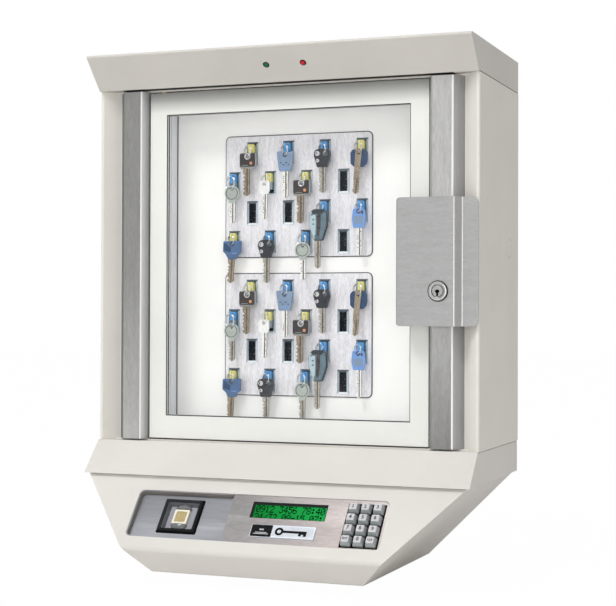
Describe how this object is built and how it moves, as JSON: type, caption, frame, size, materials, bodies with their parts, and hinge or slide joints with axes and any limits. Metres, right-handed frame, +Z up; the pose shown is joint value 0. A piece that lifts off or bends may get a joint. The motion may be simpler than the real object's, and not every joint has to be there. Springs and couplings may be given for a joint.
{
  "type": "electronic key cabinet",
  "caption": "Wall-hung electronic key cabinet: glazed steel door, plug-in key tags on two modules, and an angled console with fingerprint reader, display and keypad.",
  "frame": {"origin": "centre of the four wall-bolt holes, on the wall plane", "axes": "+Z up, +X to the right of a person facing the cabinet, -Y out of the wall towards that person"},
  "size_m": [0.508, 0.3016, 0.6482],
  "materials": {
    "powder_coat": "satin",
    "header_coat": "satin",
    "inner_white": "satin",
    "brushed_stainless": "brushed",
    "module_steel": "brushed",
    "galvanised": "matte",
    "brass": "satin",
    "chrome": "polished",
    "black_plastic": "matte",
    "grey_key_plastic": "matte",
    "receptacle_plastic": "gloss",
    "lcd_green": "gloss",
    "led_lens": "gloss",
    "badge": "satin",
    "clear_glass": "polished",
    "rubber": "matte",
    "circuit": "matte",
    "zinc_screw": "satin",
    "key_blue": "gloss",
    "key_yellow": "gloss"
  },
  "bodies": {
    "cabinet": {"cabinet_shell": "powder_coat", "back_panel": "galvanised", "header_cover": "header_coat", "status_leds": "led_lens", "console_flare": "powder_coat", "console_housing": "powder_coat", "control_plates": "brushed_stainless", "fingerprint_reader": "black_plastic", "display": "lcd_green", "badge_plate": "badge", "keypad_base": "black_plastic", "electronics": "circuit", "trim_strips": "brushed_stainless", "key_panel": "inner_white", "panel_screws": "zinc_screw", "module_plates": "module_steel", "receptacles": "receptacle_plastic", "hinge_pins": "brass"},
    "door": {"door_frame": "powder_coat", "door_rubber": "rubber", "door_glass": "clear_glass", "lock_cover": "brushed_stainless", "lock_cylinder": "chrome"},
    "lock_plug": {"lock_plug": "chrome"},
    "keypad_button_1": {"keypad_button_1": "grey_key_plastic"},
    "keypad_button_2": {"keypad_button_2": "grey_key_plastic"},
    "keypad_button_3": {"keypad_button_3": "grey_key_plastic"},
    "keypad_button_4": {"keypad_button_4": "grey_key_plastic"},
    "keypad_button_5": {"keypad_button_5": "grey_key_plastic"},
    "keypad_button_6": {"keypad_button_6": "grey_key_plastic"},
    "keypad_button_7": {"keypad_button_7": "grey_key_plastic"},
    "keypad_button_8": {"keypad_button_8": "grey_key_plastic"},
    "keypad_button_9": {"keypad_button_9": "grey_key_plastic"},
    "keypad_button_enter": {"keypad_button_enter": "grey_key_plastic"},
    "keypad_button_0": {"keypad_button_0": "grey_key_plastic"},
    "keypad_button_clear": {"keypad_button_clear": "grey_key_plastic"},
    "key_set_upper_11": {"key_set_upper_11": "key_yellow"},
    "key_set_upper_12": {"key_set_upper_12": "key_blue"},
    "key_set_upper_13": {"key_set_upper_13": "key_blue"},
    "key_set_upper_14": {"key_set_upper_14": "key_yellow"},
    "key_set_upper_21": {"key_set_upper_21": "key_blue"},
    "key_set_upper_22": {"key_set_upper_22": "key_yellow"},
    "key_set_upper_23": {"key_set_upper_23": "key_yellow"},
    "key_set_upper_33": {"key_set_upper_33": "key_blue"},
    "key_set_upper_34": {"key_set_upper_34": "key_blue"},
    "key_set_upper_41": {"key_set_upper_41": "key_yellow"},
    "key_set_upper_42": {"key_set_upper_42": "key_blue"},
    "key_set_upper_43": {"key_set_upper_43": "key_blue"},
    "key_set_lower_11": {"key_set_lower_11": "key_yellow"},
    "key_set_lower_12": {"key_set_lower_12": "key_blue"},
    "key_set_lower_13": {"key_set_lower_13": "key_blue"},
    "key_set_lower_14": {"key_set_lower_14": "key_yellow"},
    "key_set_lower_21": {"key_set_lower_21": "key_blue"},
    "key_set_lower_22": {"key_set_lower_22": "key_yellow"},
    "key_set_lower_23": {"key_set_lower_23": "key_yellow"},
    "key_set_lower_33": {"key_set_lower_33": "key_blue"},
    "key_set_lower_34": {"key_set_lower_34": "key_blue"},
    "key_set_lower_41": {"key_set_lower_41": "key_yellow"},
    "key_set_lower_42": {"key_set_lower_42": "key_blue"},
    "key_set_lower_43": {"key_set_lower_43": "key_blue"}
  },
  "joints": [
    {"name": "door_hinge", "type": "hinge", "parent": "cabinet", "child": "door", "pos_m": [-0.172, -0.178, 0], "axis": [0, 0, 1], "range_deg": [-110, 0]},
    {"name": "door_lock_turn", "type": "hinge", "parent": "door", "child": "lock_plug", "pos_m": [0.208, -0.2, -0.0352], "axis": [0, -1, 0], "range_deg": [0, 90]},
    {"name": "keypad_button_1_press", "type": "slide", "parent": "cabinet", "child": "keypad_button_1", "axis": [0, 0.7604, -0.6495], "range_m": [0, 0.0015]},
    {"name": "keypad_button_2_press", "type": "slide", "parent": "cabinet", "child": "keypad_button_2", "axis": [0, 0.7604, -0.6495], "range_m": [0, 0.0015]},
    {"name": "keypad_button_3_press", "type": "slide", "parent": "cabinet", "child": "keypad_button_3", "axis": [0, 0.7604, -0.6495], "range_m": [0, 0.0015]},
    {"name": "keypad_button_4_press", "type": "slide", "parent": "cabinet", "child": "keypad_button_4", "axis": [0, 0.7604, -0.6495], "range_m": [0, 0.0015]},
    {"name": "keypad_button_5_press", "type": "slide", "parent": "cabinet", "child": "keypad_button_5", "axis": [0, 0.7604, -0.6495], "range_m": [0, 0.0015]},
    {"name": "keypad_button_6_press", "type": "slide", "parent": "cabinet", "child": "keypad_button_6", "axis": [0, 0.7604, -0.6495], "range_m": [0, 0.0015]},
    {"name": "keypad_button_7_press", "type": "slide", "parent": "cabinet", "child": "keypad_button_7", "axis": [0, 0.7604, -0.6495], "range_m": [0, 0.0015]},
    {"name": "keypad_button_8_press", "type": "slide", "parent": "cabinet", "child": "keypad_button_8", "axis": [0, 0.7604, -0.6495], "range_m": [0, 0.0015]},
    {"name": "keypad_button_9_press", "type": "slide", "parent": "cabinet", "child": "keypad_button_9", "axis": [0, 0.7604, -0.6495], "range_m": [0, 0.0015]},
    {"name": "keypad_button_enter_press", "type": "slide", "parent": "cabinet", "child": "keypad_button_enter", "axis": [0, 0.7604, -0.6495], "range_m": [0, 0.0015]},
    {"name": "keypad_button_0_press", "type": "slide", "parent": "cabinet", "child": "keypad_button_0", "axis": [0, 0.7604, -0.6495], "range_m": [0, 0.0015]},
    {"name": "keypad_button_clear_press", "type": "slide", "parent": "cabinet", "child": "keypad_button_clear", "axis": [0, 0.7604, -0.6495], "range_m": [0, 0.0015]},
    {"name": "key_set_upper_11_pull", "type": "slide", "parent": "cabinet", "child": "key_set_upper_11", "axis": [0, -1, 0], "range_m": [0, 0.012]},
    {"name": "key_set_upper_12_pull", "type": "slide", "parent": "cabinet", "child": "key_set_upper_12", "axis": [0, -1, 0], "range_m": [0, 0.012]},
    {"name": "key_set_upper_13_pull", "type": "slide", "parent": "cabinet", "child": "key_set_upper_13", "axis": [0, -1, 0], "range_m": [0, 0.012]},
    {"name": "key_set_upper_14_pull", "type": "slide", "parent": "cabinet", "child": "key_set_upper_14", "axis": [0, -1, 0], "range_m": [0, 0.012]},
    {"name": "key_set_upper_21_pull", "type": "slide", "parent": "cabinet", "child": "key_set_upper_21", "axis": [0, -1, 0], "range_m": [0, 0.012]},
    {"name": "key_set_upper_22_pull", "type": "slide", "parent": "cabinet", "child": "key_set_upper_22", "axis": [0, -1, 0], "range_m": [0, 0.012]},
    {"name": "key_set_upper_23_pull", "type": "slide", "parent": "cabinet", "child": "key_set_upper_23", "axis": [0, -1, 0], "range_m": [0, 0.012]},
    {"name": "key_set_upper_33_pull", "type": "slide", "parent": "cabinet", "child": "key_set_upper_33", "axis": [0, -1, 0], "range_m": [0, 0.012]},
    {"name": "key_set_upper_34_pull", "type": "slide", "parent": "cabinet", "child": "key_set_upper_34", "axis": [0, -1, 0], "range_m": [0, 0.012]},
    {"name": "key_set_upper_41_pull", "type": "slide", "parent": "cabinet", "child": "key_set_upper_41", "axis": [0, -1, 0], "range_m": [0, 0.012]},
    {"name": "key_set_upper_42_pull", "type": "slide", "parent": "cabinet", "child": "key_set_upper_42", "axis": [0, -1, 0], "range_m": [0, 0.012]},
    {"name": "key_set_upper_43_pull", "type": "slide", "parent": "cabinet", "child": "key_set_upper_43", "axis": [0, -1, 0], "range_m": [0, 0.012]},
    {"name": "key_set_lower_11_pull", "type": "slide", "parent": "cabinet", "child": "key_set_lower_11", "axis": [0, -1, 0], "range_m": [0, 0.012]},
    {"name": "key_set_lower_12_pull", "type": "slide", "parent": "cabinet", "child": "key_set_lower_12", "axis": [0, -1, 0], "range_m": [0, 0.012]},
    {"name": "key_set_lower_13_pull", "type": "slide", "parent": "cabinet", "child": "key_set_lower_13", "axis": [0, -1, 0], "range_m": [0, 0.012]},
    {"name": "key_set_lower_14_pull", "type": "slide", "parent": "cabinet", "child": "key_set_lower_14", "axis": [0, -1, 0], "range_m": [0, 0.012]},
    {"name": "key_set_lower_21_pull", "type": "slide", "parent": "cabinet", "child": "key_set_lower_21", "axis": [0, -1, 0], "range_m": [0, 0.012]},
    {"name": "key_set_lower_22_pull", "type": "slide", "parent": "cabinet", "child": "key_set_lower_22", "axis": [0, -1, 0], "range_m": [0, 0.012]},
    {"name": "key_set_lower_23_pull", "type": "slide", "parent": "cabinet", "child": "key_set_lower_23", "axis": [0, -1, 0], "range_m": [0, 0.012]},
    {"name": "key_set_lower_33_pull", "type": "slide", "parent": "cabinet", "child": "key_set_lower_33", "axis": [0, -1, 0], "range_m": [0, 0.012]},
    {"name": "key_set_lower_34_pull", "type": "slide", "parent": "cabinet", "child": "key_set_lower_34", "axis": [0, -1, 0], "range_m": [0, 0.012]},
    {"name": "key_set_lower_41_pull", "type": "slide", "parent": "cabinet", "child": "key_set_lower_41", "axis": [0, -1, 0], "range_m": [0, 0.012]},
    {"name": "key_set_lower_42_pull", "type": "slide", "parent": "cabinet", "child": "key_set_lower_42", "axis": [0, -1, 0], "range_m": [0, 0.012]},
    {"name": "key_set_lower_43_pull", "type": "slide", "parent": "cabinet", "child": "key_set_lower_43", "axis": [0, -1, 0], "range_m": [0, 0.012]}
  ]
}
